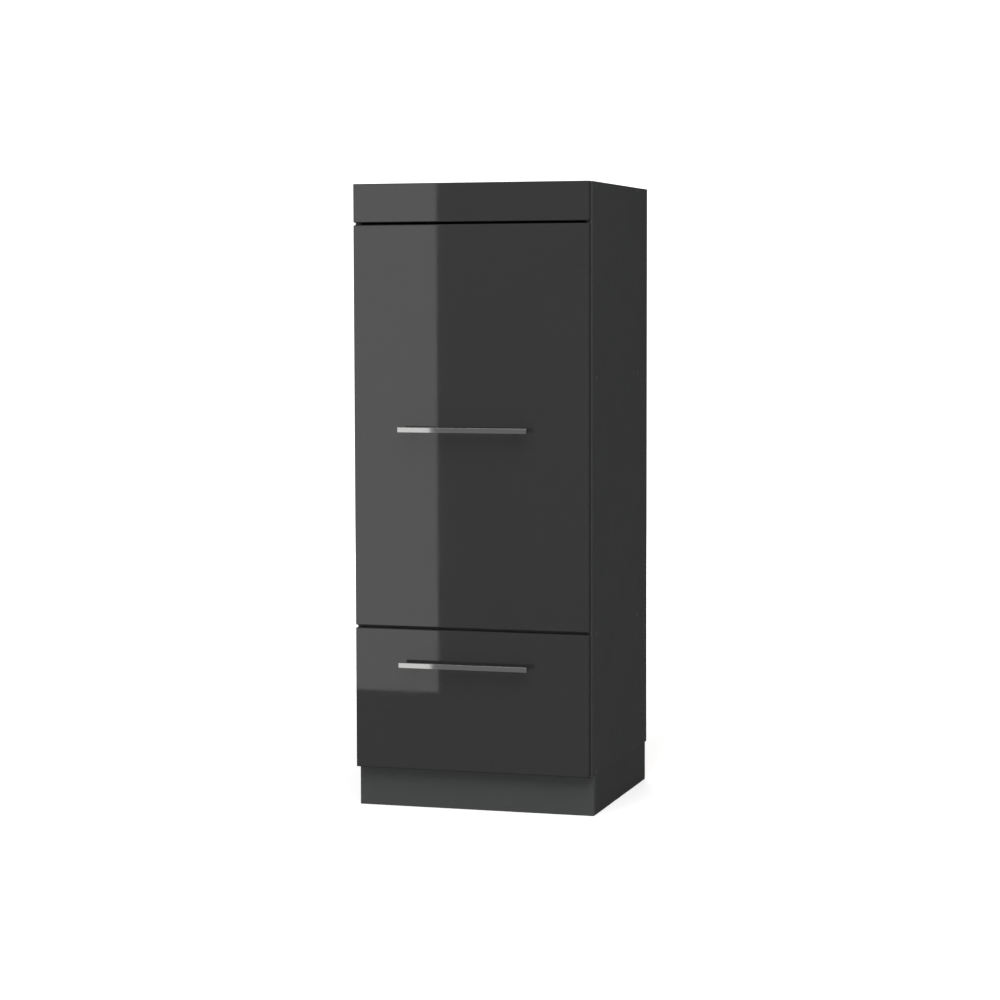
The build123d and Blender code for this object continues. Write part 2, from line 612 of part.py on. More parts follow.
def make_drawer_walls():
    # Folded steel: wall, track for the roller outside, ledge for the floor inside, hem along the top.
    section = strip(wall_in, wall_out, wall_low, wall_high)
    section += strip(wall_in, wall_out + TRACK_WIDTH, track_low, track_low + STEEL)
    section += strip(wall_in - DRAWER_LEDGE, wall_out, wall_low, drawer_floor_low)
    section += strip(wall_in, wall_out + DRAWER_HEM, wall_high - STEEL, wall_high)
    hem_out = wall_out + DRAWER_HEM
    section += strip(hem_out - STEEL, hem_out, wall_high - DRAWER_HEM_LIP, wall_high)
    wall = along_y(section, y_front_rear, drawer_rear)
    stub_length = roller_out + ROLLER_PLAY - wall_out
    wall += axle((wall_out, drawer_axle_y, drawer_axle_z), (1, 0, 0), stub_length)
    parts["drawer_side_right"] = wall
    parts["drawer_side_left"] = flipped(wall)


def corner_bracket(corner_y, way):
    # An angle inside the drawer, one leg on the wall and one along X.
    low = drawer_floor_high + BRACKET_LIFT
    profile = strip(wall_in - ANGLE_SHEET, wall_in, *sorted((corner_y, corner_y + way * BRACKET_LEG)))
    profile += strip(wall_in - BRACKET_LEG, wall_in, *sorted((corner_y, corner_y + way * ANGLE_SHEET)))
    return Pos(0, 0, low) * extrude(profile, BRACKET_HEIGHT, dir=(0, 0, 1))


def make_drawer():
    make_drawer_walls()
    floor_half = wall_in - DRAWER_PLAY
    back_front = drawer_rear - BOARD
    back_high = drawer_floor_high + DRAWER_BACK_HEIGHT
    floor = block(-floor_half, floor_half, y_front_rear, drawer_rear, drawer_floor_low, drawer_floor_high)
    back = block(-floor_half, floor_half, back_front, drawer_rear, drawer_floor_high, back_high)

    # Angles that hold the walls to the front and to the back board
    middle = drawer_floor_high + BRACKET_LIFT + BRACKET_HEIGHT / 2
    x_screw = wall_in - (ANGLE_SHEET + BRACKET_LEG) / 2
    levels = [middle + side * BRACKET_SCREW_PITCH / 2 for side in (-1, 1)]
    into_front = [((x_screw, y_front_rear + ANGLE_SHEET, z), (0, -1, 0)) for z in levels]
    into_back = [((x_screw, back_front - ANGLE_SHEET, z), (0, 1, 0)) for z in levels]
    holes = [aimed(small_screw(SCREW_FIT), *aim) for aim in into_front + into_back]
    screws = [aimed(small_screw(), *aim) for aim in into_front + into_back]
    all_holes = holes + [flipped(hole) for hole in holes]
    parts["drawer_front_brackets"] = group(both_sides(corner_bracket(y_front_rear, 1) - holes))
    parts["drawer_back_brackets"] = group(both_sides(corner_bracket(back_front, -1) - holes))
    parts["drawer_bracket_screws"] = group([copy for item in screws for copy in both_sides(item)])
    parts["drawer_floor"] = floor
    parts["drawer_back"] = back - all_holes

    # Gallery tubes between sockets on the front and on the back board
    tube_z = back_high - GALLERY_DROP
    tube_x = wall_in - GALLERY_INSET
    socket = prism(SOCKET_RADIUS, 0, SOCKET_LENGTH, TUBE_SIDES)
    socket -= prism(GALLERY_RADIUS + SOCKET_PLAY, SOCKET_LENGTH - SOCKET_BORE, SOCKET_LENGTH, TUBE_SIDES)
    sockets = [aimed(socket, (tube_x, y_front_rear, tube_z), (0, 1, 0))]
    sockets.append(aimed(socket, (tube_x, back_front, tube_z), (0, -1, 0)))
    solid_end = SOCKET_LENGTH - SOCKET_BORE
    tube_length = back_front - y_front_rear - 2 * solid_end
    tube = prism(GALLERY_RADIUS, 0, tube_length, TUBE_SIDES)
    tube -= prism(GALLERY_RADIUS - GALLERY_WALL, 0, tube_length, TUBE_SIDES)
    tube = aimed(tube, (tube_x, y_front_rear + solid_end, tube_z), (0, 1, 0))
    parts["gallery_sockets"] = group([copy for item in sockets for copy in both_sides(item)])
    parts["gallery_tubes"] = group(both_sides(tube))

    handle_holes = make_handle("drawer", drawer_front_high - DRAWER_HANDLE_DROP)
    parts["drawer_front"] = front_panel(drawer_front_low, drawer_front_high) - handle_holes - all_holes
    edge = inner + BOARD / 2
    make_bumpers("drawer_bumpers", [(side * edge, drawer_front_high - BUMPER_FROM_END) for side in (-1, 1)])


make_carcass()
make_loose_shelves()
make_plinth()
make_fascia()
make_hinges()
make_door()
make_runners()
make_drawer()

os.makedirs("parts", exist_ok=True)
for name, shape in parts.items():
    export_step(shape, f"parts/{name}.step")
print(len(parts), "nodes")
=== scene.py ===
import bmesh
import bpy
import json
import math
from mathutils import Matrix, Vector


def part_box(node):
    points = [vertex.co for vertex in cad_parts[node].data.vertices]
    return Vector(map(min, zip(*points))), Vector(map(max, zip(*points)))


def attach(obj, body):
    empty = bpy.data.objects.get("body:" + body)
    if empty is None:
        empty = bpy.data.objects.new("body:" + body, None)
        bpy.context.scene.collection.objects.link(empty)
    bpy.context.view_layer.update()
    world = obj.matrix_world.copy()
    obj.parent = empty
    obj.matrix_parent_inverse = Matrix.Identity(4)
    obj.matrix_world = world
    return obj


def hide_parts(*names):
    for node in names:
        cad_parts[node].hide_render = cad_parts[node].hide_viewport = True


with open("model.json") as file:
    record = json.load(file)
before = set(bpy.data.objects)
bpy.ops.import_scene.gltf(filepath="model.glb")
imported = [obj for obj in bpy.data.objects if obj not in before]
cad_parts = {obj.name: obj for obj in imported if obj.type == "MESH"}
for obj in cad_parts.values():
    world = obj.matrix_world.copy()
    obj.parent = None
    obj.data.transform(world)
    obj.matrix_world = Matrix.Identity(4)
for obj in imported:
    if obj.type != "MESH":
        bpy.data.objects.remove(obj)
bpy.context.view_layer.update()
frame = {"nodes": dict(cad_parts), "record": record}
nodes = frame["nodes"]
mm = 0.001

floatSocket, vectorSocket, colourSocket = "NodeSocketFloat", "NodeSocketVector", "NodeSocketColor"
frontFace, rearFace, underFace = (0.0, -1.0, 0.0), (0.0, 1.0, 0.0), (0.0, 0.0, -1.0)


def plug(tree, value, socket):
    # links an output, or writes a plain value
    if hasattr(value, "is_output"):
        tree.links.new(value, socket)
    else:
        socket.default_value = value


def newGroup(name, inputs, outputs):
    group = bpy.data.node_groups.new(name, "ShaderNodeTree")
    for label, kind, value in inputs:
        socket = group.interface.new_socket(label, in_out="INPUT", socket_type=kind)
        if value is not None:
            socket.default_value = value
    for label, kind in outputs:
        group.interface.new_socket(label, in_out="OUTPUT", socket_type=kind)
    return group, group.nodes.new("NodeGroupInput").outputs, group.nodes.new("NodeGroupOutput").inputs


def addNode(tree, kind, **inputs):
    node = tree.nodes.new(kind)
    for label, value in inputs.items():
        plug(tree, value, node.inputs[label.replace("_", " ")])
    return node


def noise(tree, place, scale, detail, twist=0.0):
    node = addNode(tree, "ShaderNodeTexNoise", Vector=place, Scale=scale, Detail=detail, Distortion=twist)
    return node.outputs


def maths(tree, operation, first, second):
    node = tree.nodes.new("ShaderNodeMath")
    node.operation = operation
    plug(tree, first, node.inputs[0])
    plug(tree, second, node.inputs[1])
    return node.outputs[0]


def vectorMaths(tree, operation, *values):
    node = tree.nodes.new("ShaderNodeVectorMath")
    node.operation = operation
    for socket, value in zip(node.inputs, values):
        plug(tree, value, socket)
    return node.outputs


def remap(tree, value, low, high, newLow=0.0, newHigh=1.0):
    node = addNode(tree, "ShaderNodeMapRange", Value=value,
                   From_Min=low, From_Max=high, To_Min=newLow, To_Max=newHigh)
    return node.outputs["Result"]


def mixColours(tree, share, first, second):
    node = tree.nodes.new("ShaderNodeMix")
    node.data_type = "RGBA"
    plug(tree, share, node.inputs[0])
    for index, value in ((6, first), (7, second)):  # the colour sockets A and B
        plug(tree, (*value, 1.0) if isinstance(value, tuple) else value, node.inputs[index])
    return node.outputs[2]


def mixValues(tree, share, first, second):
    node = tree.nodes.new("ShaderNodeMix")
    for index, value in ((0, share), (2, first), (3, second)):  # the factor, and the plain sockets A and B
        plug(tree, value, node.inputs[index])
    return node.outputs[0]


grainSet = {"pebble": 1800.0, "pebbleDetail": 2.0, "cloud": 5.0, "cloudDetail": 3.0, "contrast": (0.3, 0.7)}


def makeBoardGrain():
    # pebbled press texture of a coated board, and slow clouds of shade over it
    group, given, out = newGroup(
        "boardGrain",
        [("Vector", vectorSocket, None),
         ("Pebble", floatSocket, grainSet["pebble"]),
         ("Cloud", floatSocket, grainSet["cloud"])],
        [("Height", floatSocket), ("Shade", floatSocket)],
    )
    pebble = noise(group, given["Vector"], given["Pebble"], grainSet["pebbleDetail"])["Fac"]
    cloud = noise(group, given["Vector"], given["Cloud"], grainSet["cloudDetail"])["Fac"]
    plug(group, pebble, out["Height"])
    plug(group, remap(group, cloud, *grainSet["contrast"]), out["Shade"])
    return group


markSet = {"size": 9.0, "detail": 6.0, "twist": 1.6, "streak": (70.0, 70.0, 9.0), "streakDetail": 3.0,
           "contrast": (0.12, 0.42)}


def makeHandMarks():
    # wiped, smeared patches that change how sharp a gloss is
    group, given, out = newGroup(
        "handMarks",
        [("Vector", vectorSocket, None), ("Size", floatSocket, markSet["size"])],
        [("Mask", floatSocket)],
    )
    smear = noise(group, given["Vector"], given["Size"], markSet["detail"], markSet["twist"])["Fac"]
    streak = addNode(group, "ShaderNodeMapping", Vector=given["Vector"], Scale=markSet["streak"])
    lines = noise(group, streak.outputs["Vector"], 1.0, markSet["streakDetail"])["Fac"]
    both = maths(group, "MULTIPLY", smear, lines)
    plug(group, remap(group, both, *markSet["contrast"]), out["Mask"])
    return group


wearSet = {"radius": 0.001, "samples": 4, "bend": (0.995, 0.80), "size": 160.0, "detail": 4.0,
           "contrast": (0.35, 0.65)}


def makeEdgeWear():
    # bright where two faces meet, broken up by noise
    group, given, out = newGroup(
        "edgeWear",
        [("Vector", vectorSocket, None), ("Radius", floatSocket, wearSet["radius"])],
        [("Mask", floatSocket)],
    )
    rounded = addNode(group, "ShaderNodeBevel", Radius=given["Radius"])
    rounded.samples = wearSet["samples"]
    geometry = group.nodes.new("ShaderNodeNewGeometry")
    dot = vectorMaths(group, "DOT_PRODUCT", rounded.outputs["Normal"], geometry.outputs["Normal"])["Value"]
    edge = remap(group, dot, *wearSet["bend"])
    breakUp = noise(group, given["Vector"], wearSet["size"], wearSet["detail"])["Fac"]
    plug(group, maths(group, "MULTIPLY", edge, remap(group, breakUp, *wearSet["contrast"])), out["Mask"])
    return group


dustSet = {"size": 70.0, "detail": 7.0, "upward": (0.6, 1.0), "contrast": (0.2, 0.9)}


def makeSettledDust():
    # fine dust on faces that look up
    group, given, out = newGroup("settledDust", [("Vector", vectorSocket, None)], [("Mask", floatSocket)])
    geometry = group.nodes.new("ShaderNodeNewGeometry")
    parts = addNode(group, "ShaderNodeSeparateXYZ", Vector=geometry.outputs["Normal"])
    drift = noise(group, given["Vector"], dustSet["size"], dustSet["detail"])["Fac"]
    upward = remap(group, parts.outputs["Z"], *dustSet["upward"])
    plug(group, maths(group, "MULTIPLY", upward, remap(group, drift, *dustSet["contrast"])), out["Mask"])
    return group


brushSet = {"stretch": (14.0, 2600.0, 2600.0), "detail": 5.0, "contrast": (0.3, 0.7)}


def makeBrushing():
    # fine lines along the axis with the least stretch, as left by a belt
    group, given, out = newGroup(
        "brushing",
        [("Vector", vectorSocket, None), ("Stretch", vectorSocket, brushSet["stretch"])],
        [("Height", floatSocket), ("Mask", floatSocket)],
    )
    scaled = vectorMaths(group, "MULTIPLY", given["Vector"], given["Stretch"])["Vector"]
    lines = noise(group, scaled, 1.0, brushSet["detail"])["Fac"]
    plug(group, lines, out["Height"])
    plug(group, remap(group, lines, *brushSet["contrast"]), out["Mask"])
    return group


faceSideLimits = (0.96, 0.99)  # cosines between which a face begins to count


def makeFaceSide():
    # 1 on the faces that look the way of Axis, 0 on the others and on rounded edges
    group, given, out = newGroup("faceSide", [("Axis", vectorSocket, rearFace)], [("Mask", floatSocket)])
    coords = group.nodes.new("ShaderNodeTexCoord")
    dot = vectorMaths(group, "DOT_PRODUCT", coords.outputs["Normal"], given["Axis"])["Value"]
    plug(group, remap(group, dot, *faceSideLimits), out["Mask"])
    return group


chipSet = {"size": 420.0, "warp": 260.0, "warpDetail": 2.0, "shift": (0.004, 0.004, 0.004),
           "dark": (0.20, 0.125, 0.065), "light": (0.46, 0.33, 0.19)}


def makeChips():
    # pressed wood chips of a raw board edge
    group, given, out = newGroup(
        "woodChips",
        [("Vector", vectorSocket, None), ("Size", floatSocket, chipSet["size"])],
        [("Color", colourSocket), ("Height", floatSocket)],
    )
    warp = noise(group, given["Vector"], chipSet["warp"], chipSet["warpDetail"])["Color"]
    shifted = vectorMaths(group, "MULTIPLY_ADD", warp, chipSet["shift"], given["Vector"])["Vector"]
    chips = addNode(group, "ShaderNodeTexVoronoi", Vector=shifted, Scale=given["Size"])
    tone = addNode(group, "ShaderNodeSeparateColor", Color=chips.outputs["Color"]).outputs
    plug(group, mixColours(group, tone[0], chipSet["dark"], chipSet["light"]), out["Color"])
    plug(group, tone[1], out["Height"])
    return group


effects = {
    "grain": makeBoardGrain(),
    "marks": makeHandMarks(),
    "wear": makeEdgeWear(),
    "dust": makeSettledDust(),
    "brushing": makeBrushing(),
    "side": makeFaceSide(),
    "chips": makeChips(),
}
print("effects made:", len(effects))


class Finish:
    def __init__(self, name):
        self.material = bpy.data.materials.new(name)
        self.material.use_nodes = True
        self.tree = self.material.node_tree
        self.shader = self.tree.nodes["Principled BSDF"]
        self.place = self.tree.nodes.new("ShaderNodeTexCoord").outputs["Object"]

    def plain(self, **values):
        for label, value in values.items():
            self.shader.inputs[label.replace("_", " ")].default_value = value

    def effect(self, name, **values):
        node = self.tree.nodes.new("ShaderNodeGroup")
        node.node_tree = effects[name]
        if "Vector" in node.inputs:
            self.tree.links.new(self.place, node.inputs["Vector"])
        for label, value in values.items():
            node.inputs[label].default_value = value
        return node.outputs

    def feed(self, label, value):
        self.tree.links.new(value, self.shader.inputs[label])

    def relief(self, height, distance):
        bump = addNode(self.tree, "ShaderNodeBump", Strength=1.0, Distance=distance, Height=height)
        self.feed("Normal", bump.outputs["Normal"])


lacquerSet = {
    "face": (0.0237, 0.0238, 0.0238),
    "faceShift": (0.0246, 0.0247, 0.0247),
    # edge: darker than the face, partly a matte edge strip and partly painted shade for the shaded reveals
    # beside the fronts
    "edge": (0.010, 0.0102, 0.0102),
    "rear": (0.032, 0.0325, 0.0325),
    "gloss": (0.025, 0.06),  # roughness, least and most, here and in the other finishes
    "edgeGloss": 1.0,
    "rearGloss": 0.42,
    "ior": 1.576,
    "peelSize": 260.0,
    "peelDepth": 4e-7,
    "cloud": 3.5,
    "smear": 7.0,
}


def makeLacquer():
    finish = Finish("frontLacquer")
    tree = finish.tree
    finish.plain(IOR=lacquerSet["ior"])
    grain = finish.effect("grain", Pebble=lacquerSet["peelSize"], Cloud=lacquerSet["cloud"])
    marks = finish.effect("marks", Size=lacquerSet["smear"])
    front = finish.effect("side", Axis=frontFace)["Mask"]
    rear = finish.effect("side", Axis=rearFace)["Mask"]
    face = mixColours(tree, grain["Shade"], lacquerSet["face"], lacquerSet["faceShift"])
    # the sides and rounded edges of the fronts take the darker edge colour: partly a matte edge strip, partly
    # painted shade
    colour = mixColours(tree, front, lacquerSet["edge"], face)
    finish.feed("Base Color", mixColours(tree, rear, colour, lacquerSet["rear"]))
    gloss = remap(tree, marks["Mask"], 0.0, 1.0, *lacquerSet["gloss"])
    gloss = mixValues(tree, front, lacquerSet["edgeGloss"], gloss)
    finish.feed("Roughness", mixValues(tree, rear, gloss, lacquerSet["rearGloss"]))
    finish.relief(grain["Height"], lacquerSet["peelDepth"])
    return finish.material


boardSet = {
    "colour": (0.0374, 0.0387, 0.0381),
    "colourShift": (0.0391, 0.0404, 0.0399),
    # front-edge strip: partly a paler edge colour, partly painted light for edges seen in shaded gaps
    "bandWithPaintedLight": (0.0780, 0.0795, 0.0790),
    "dust": (0.16, 0.16, 0.155),
    "dustShare": 0.12,
    "gloss": (0.62, 0.68),
    "rawGloss": 0.9,
    "specular": 0.12,
    "pebble": 1500.0,
    "cloud": 4.0,
    "smear": 6.0,
    "depth": 0.00003,
}


def makeBoard(name, rawAxes=(), bandAxis=None, **changes):
    values = {**boardSet, **changes}
    finish = Finish(name)
    tree = finish.tree
    finish.plain(Specular_IOR_Level=values["specular"])
    grain = finish.effect("grain", Pebble=values["pebble"], Cloud=values["cloud"])
    marks = finish.effect("marks", Size=values["smear"])
    dust = maths(tree, "MULTIPLY", finish.effect("dust")["Mask"], values["dustShare"])
    colour = mixColours(tree, grain["Shade"], values["colour"], values["colourShift"])
    colour = mixColours(tree, dust, colour, values["dust"])
    if bandAxis:  # glued edge strip, lighter than the faces: partly its own paler colour, partly painted light for front edges deep in shaded gaps
        colour = mixColours(tree, finish.effect("side", Axis=bandAxis)["Mask"], colour, values["bandWithPaintedLight"])
    gloss = remap(tree, marks["Mask"], 0.0, 1.0, *values["gloss"])
    height = grain["Height"]
    for axis in rawAxes:  # sawn edges without a strip
        raw = finish.effect("side", Axis=axis)["Mask"]
        chips = finish.effect("chips")
        colour = mixColours(tree, raw, colour, chips["Color"])
        gloss = mixValues(tree, raw, gloss, values["rawGloss"])
        height = mixValues(tree, raw, height, chips["Height"])
    finish.feed("Base Color", colour)
    finish.feed("Roughness", gloss)
    finish.relief(height, values["depth"])
    return finish.material


hardboardSet = {
    "inner": (0.030, 0.031, 0.031),
    "fibre": (0.175, 0.100, 0.052),
    "fibreShift": (0.235, 0.142, 0.078),
    "innerGloss": 0.5,
    "gloss": (0.55, 0.85),
    "specular": 0.25,
    "flake": 900.0,
    "flakeShare": 0.35,
    "cloud": 9.0,
    "cloudShare": 0.18,
    "weave": 420.0,
    "weaveDetail": 6.0,
    "contrast": (0.3, 0.7),
    "depth": 0.0001,
}


def makeHardboard():
    finish = Finish("backHardboard")
    tree = finish.tree
    finish.plain(Specular_IOR_Level=hardboardSet["specular"])
    contrast = hardboardSet["contrast"]
    grain = finish.effect("grain", Pebble=hardboardSet["flake"], Cloud=hardboardSet["cloud"])
    weave = noise(tree, finish.place, hardboardSet["weave"], hardboardSet["weaveDetail"])["Fac"]
    rear = finish.effect("side", Axis=rearFace)["Mask"]
    share = mixValues(tree, hardboardSet["cloudShare"], remap(tree, weave, *contrast), grain["Shade"])
    share = mixValues(tree, hardboardSet["flakeShare"], share, remap(tree, grain["Height"], *contrast))
    fibre = mixColours(tree, share, hardboardSet["fibre"], hardboardSet["fibreShift"])
    finish.feed("Base Color", mixColours(tree, rear, hardboardSet["inner"], fibre))
    gloss = remap(tree, weave, *contrast, *hardboardSet["gloss"])
    finish.feed("Roughness", mixValues(tree, rear, hardboardSet["innerGloss"], gloss))
    finish.relief(weave, hardboardSet["depth"])
    return finish.material


woodSet = {
    "light": (0.42, 0.29, 0.165),
    "dark": (0.30, 0.19, 0.10),
    "rings": (46.0, 46.0, 4.0),
    "ringSize": 3.0,
    "ringDetail": 5.0,
    "contrast": (0.35, 0.65),
    "pores": (1800.0, 1800.0, 40.0),
    "poreShare": 0.25,
    "gloss": (0.55, 0.8),
    "depth": 0.00015,
}


def makeWood():
    finish = Finish("blockWood")
    tree = finish.tree
    stretched = addNode(tree, "ShaderNodeMapping", Vector=finish.place, Scale=woodSet["rings"])
    rings = noise(tree, stretched.outputs["Vector"], woodSet["ringSize"], woodSet["ringDetail"])["Fac"]
    pores = finish.effect("brushing", Stretch=woodSet["pores"])
    colour = mixColours(tree, remap(tree, rings, *woodSet["contrast"]), woodSet["dark"], woodSet["light"])
    darker = maths(tree, "MULTIPLY", pores["Mask"], woodSet["poreShare"])
    finish.feed("Base Color", mixColours(tree, darker, colour, woodSet["dark"]))
    finish.feed("Roughness", remap(tree, pores["Mask"], 0.0, 1.0, *woodSet["gloss"]))
    finish.relief(pores["Height"], woodSet["depth"])
    return finish.material


steelSet = {
    "worn": (0.72, 0.72, 0.71),
    "wornShare": 0.35,
    "wornRadius": 0.0006,
    "smear": 40.0,
    "handleSteel": {"colour": (0.43, 0.43, 0.425), "shift": (0.47, 0.47, 0.465), "gloss": (0.035, 0.06),
                    "depth": 4e-7, "stretch": (14.0, 2600.0, 2600.0)},
    "nickelSteel": {"colour": (0.66, 0.645, 0.62), "shift": (0.75, 0.735, 0.71), "gloss": (0.30, 0.46),
                    "depth": 6e-6, "stretch": (320.0, 320.0, 320.0)},
    "zincScrew": {"colour": (0.60, 0.61, 0.62), "shift": (0.72, 0.73, 0.74), "gloss": (0.25, 0.45),
                  "depth": 8e-6, "stretch": (900.0, 900.0, 900.0)},
}


def makeSteel(name):
    values = steelSet[name]
    finish = Finish(name)
    tree = finish.tree
    finish.plain(Metallic=1.0)
    lines = finish.effect("brushing", Stretch=values["stretch"])
    marks = finish.effect("marks", Size=steelSet["smear"])
    wear = finish.effect("wear", Radius=steelSet["wornRadius"])["Mask"]
    colour = mixColours(tree, lines["Mask"], values["colour"], values["shift"])
    wear = maths(tree, "MULTIPLY", wear, steelSet["wornShare"])
    finish.feed("Base Color", mixColours(tree, wear, colour, steelSet["worn"]))
    share = maths(tree, "MULTIPLY", maths(tree, "ADD", lines["Mask"], marks["Mask"]), 0.5)  # their mean
    finish.feed("Roughness", remap(tree, share, 0.0, 1.0, *values["gloss"]))
    finish.relief(lines["Height"], values["depth"])
    return finish.material


enamelSet = {
    "colour": (0.50, 0.51, 0.52),
    "shift": (0.56, 0.57, 0.58),
    "bare": (0.33, 0.33, 0.33),
    "bareShare": 0.4,
    "bareRadius": 0.0008,
    "gloss": (0.28, 0.42),
    "pebble": 700.0,
    "cloud": 10.0,
    "smear": 18.0,
    "depth": 0.00002,
}


def makeEnamel():
    finish = Finish("runnerEnamel")
    tree = finish.tree
    grain = finish.effect("grain", Pebble=enamelSet["pebble"], Cloud=enamelSet["cloud"])
    marks = finish.effect("marks", Size=enamelSet["smear"])
    wear = finish.effect("wear", Radius=enamelSet["bareRadius"])["Mask"]
    colour = mixColours(tree, grain["Shade"], enamelSet["colour"], enamelSet["shift"])
    wear = maths(tree, "MULTIPLY", wear, enamelSet["bareShare"])
    finish.feed("Base Color", mixColours(tree, wear, colour, enamelSet["bare"]))
    finish.feed("Roughness", remap(tree, marks["Mask"], 0.0, 1.0, *enamelSet["gloss"]))
    finish.relief(grain["Height"], enamelSet["depth"])
    return finish.material


plasticSet = {
    "pebble": 2400.0,
    "cloud": 60.0,
    "smear": 60.0,
    "depth": 0.000015,
    "throughDepth": 0.002,
    "capPlastic": {"colour": (0.026, 0.027, 0.027), "shift": (0.030, 0.031, 0.031), "gloss": (0.44, 0.56),
                   "through": 0.0, "specular": 0.35},
    "nylon": {"colour": (0.66, 0.66, 0.63), "shift": (0.72, 0.72, 0.69), "gloss": (0.32, 0.48),
              "through": 0.15, "specular": 0.5},
    "bumperRubber": {"colour": (0.60, 0.61, 0.60), "shift": (0.66, 0.67, 0.66), "gloss": (0.18, 0.34),
                     "through": 0.35, "specular": 0.5},
}


def makePlastic(name):
    values = plasticSet[name]
    finish = Finish(name)
    tree = finish.tree
    finish.plain(Subsurface_Weight=values["through"], Subsurface_Scale=plasticSet["throughDepth"],
                 Specular_IOR_Level=values["specular"])
    grain = finish.effect("grain", Pebble=plasticSet["pebble"], Cloud=plasticSet["cloud"])
    marks = finish.effect("marks", Size=plasticSet["smear"])
    finish.feed("Base Color", mixColours(tree, grain["Shade"], values["colour"], values["shift"]))
    finish.feed("Roughness", remap(tree, marks["Mask"], 0.0, 1.0, *values["gloss"]))
    finish.relief(grain["Height"], plasticSet["depth"])
    return finish.material


# painted light: the plinth's front and back are the same board as its sides, given a lighter colour for the
# brighter light on the front
plinthFrontPaintedLight = {"colour": (0.0569, 0.0591, 0.0581), "colourShift": (0.0590, 0.0615, 0.0606)}
plinthSide = {"colour": (0.0358, 0.0370, 0.0365), "colourShift": (0.0374, 0.0387, 0.0381)}
drawerGrey = {"colour": (0.20, 0.205, 0.205), "colourShift": (0.225, 0.23, 0.23)}
finishes = {
    "front_gloss": makeLacquer(),
    "carcass_board": makeBoard("carcassBoard", rawAxes=(rearFace,), bandAxis=frontFace),
    "carcass_side": makeBoard("carcassSide", rawAxes=(rearFace, underFace), bandAxis=frontFace),
    # lighter copy of the plinth board for its front and back: painted light
    "plinth_board": makeBoard("plinthBoardPaintedLight", rawAxes=(underFace,), **plinthFrontPaintedLight),
    "plinth_side": makeBoard("plinthSide", rawAxes=(rearFace, underFace), **plinthSide),
    "back_hardboard": makeHardboard(),
    "raw_wood": makeWood(),
    "handle_steel": makeSteel("handleSteel"),
    "nickel_steel": makeSteel("nickelSteel"),
    "zinc_screw": makeSteel("zincScrew"),
    "cap_plastic": makePlastic("capPlastic"),
    "bumper_rubber": makePlastic("bumperRubber"),
    "runner_enamel": makeEnamel(),
    "drawer_board": makeBoard("drawerBoard", **drawerGrey),
    "nylon": makePlastic("nylon"),
}
print("finishes made:", len(finishes))

slotOfNode = {row["node"]: row["material_slot"] for row in frame["record"]["subparts"]}
cutEnds = {  # boards whose sawn ends show
    "left_side_panel": "carcass_side",
    "right_side_panel": "carcass_side",
    "plinth_left": "plinth_side",
    "plinth_right": "plinth_side",
}
for nodeName, nodeObject in nodes.items():
    nodeObject.data.materials.clear()
    nodeObject.data.materials.append(finishes[cutEnds.get(nodeName, slotOfNode[nodeName])])
print("finishes laid on", len(slotOfNode), "nodes")

weldGap = 1e-6
levelGap = 10 * weldGap
creaseAngle = math.radians(34.0)
circleProfile = 0.5  # gives a bevel the form of an arc


def looseSolids(nodeName):
    # the points of each separate solid in a node
    shape = bmesh.new()
    shape.from_mesh(nodes[nodeName].data)
    bmesh.ops.remove_doubles(shape, verts=shape.verts, dist=weldGap)
    solids = []
    for seed in shape.verts:
        if seed.tag:
            continue
        seed.tag = True
        walk = [seed]
        for vert in walk:  # the walk grows as it goes
            fresh = [edge.other_vert(vert) for edge in vert.link_edges if not edge.other_vert(vert).tag]
            for other in fresh:
                other.tag = True
            walk += fresh
        solids.append([vert.co.copy() for vert in walk])
    shape.free()
    return solids


def boxOf(points):
    return [Vector([limit(point[axis] for point in points) for axis in range(3)]) for limit in (min, max)]


def looseBoxes(nodeName):
    return [boxOf(points) for points in looseSolids(nodeName)]


def placed(start, direction):
    # turns a shape's +Z to direction, keeps its +Y upwards, and sets its origin at start
    return Matrix.Translation(start) @ Vector(direction).to_track_quat("Z", "Y").to_matrix().to_4x4()


def onlyVerts(items):
    return [item for item in items if isinstance(item, bmesh.types.BMVert)]


def onlyEdges(items):
    return [item for item in items if isinstance(item, bmesh.types.BMEdge)]


def turned(profile, steps=40, closed=False):
    # a profile of (radius, height) in millimetres, turned about Z
    shape = bmesh.new()
    verts = [shape.verts.new((radius * mm, 0.0, height * mm)) for radius, height in profile]
    for first, second in zip(verts, verts[1:] + verts[:1] if closed else verts[1:]):
        shape.edges.new((first, second))
    bmesh.ops.spin(shape, geom=shape.verts[:] + shape.edges[:], cent=(0.0, 0.0, 0.0), axis=(0.0, 0.0, 1.0),
                   angle=2 * math.pi, steps=steps, use_merge=True)
    bmesh.ops.remove_doubles(shape, verts=shape.verts, dist=weldGap)
    bmesh.ops.recalc_face_normals(shape, faces=shape.faces)
    return shape


def makeMesh(name, shape):
    mesh = bpy.data.meshes.new(name)
    shape.to_mesh(mesh)
    shape.free()
    return mesh


def addObject(name, data):
    holder = bpy.data.objects.new(name, data)
    bpy.context.scene.collection.objects.link(holder)
    return holder


def joinShape(whole, part, place):
    mesh = makeMesh("loosePart", part)
    known = len(whole.verts)
    whole.from_mesh(mesh)
    bpy.data.meshes.remove(mesh)
    whole.verts.ensure_lookup_table()
    bmesh.ops.transform(whole, matrix=place, verts=whole.verts[known:])


def addPiece(name, shape, body, slot, *replaced):
    mesh = makeMesh(name, shape)
    for face in mesh.polygons:
        face.use_smooth = True
    mesh.set_sharp_from_angle(angle=creaseAngle)
    mesh.materials.append(finishes[slot])
    piece = addObject(name, mesh)
    piece.modifiers.new("flatFaces", "WEIGHTED_NORMAL").keep_sharp = True
    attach(piece, body)
    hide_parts(*replaced)


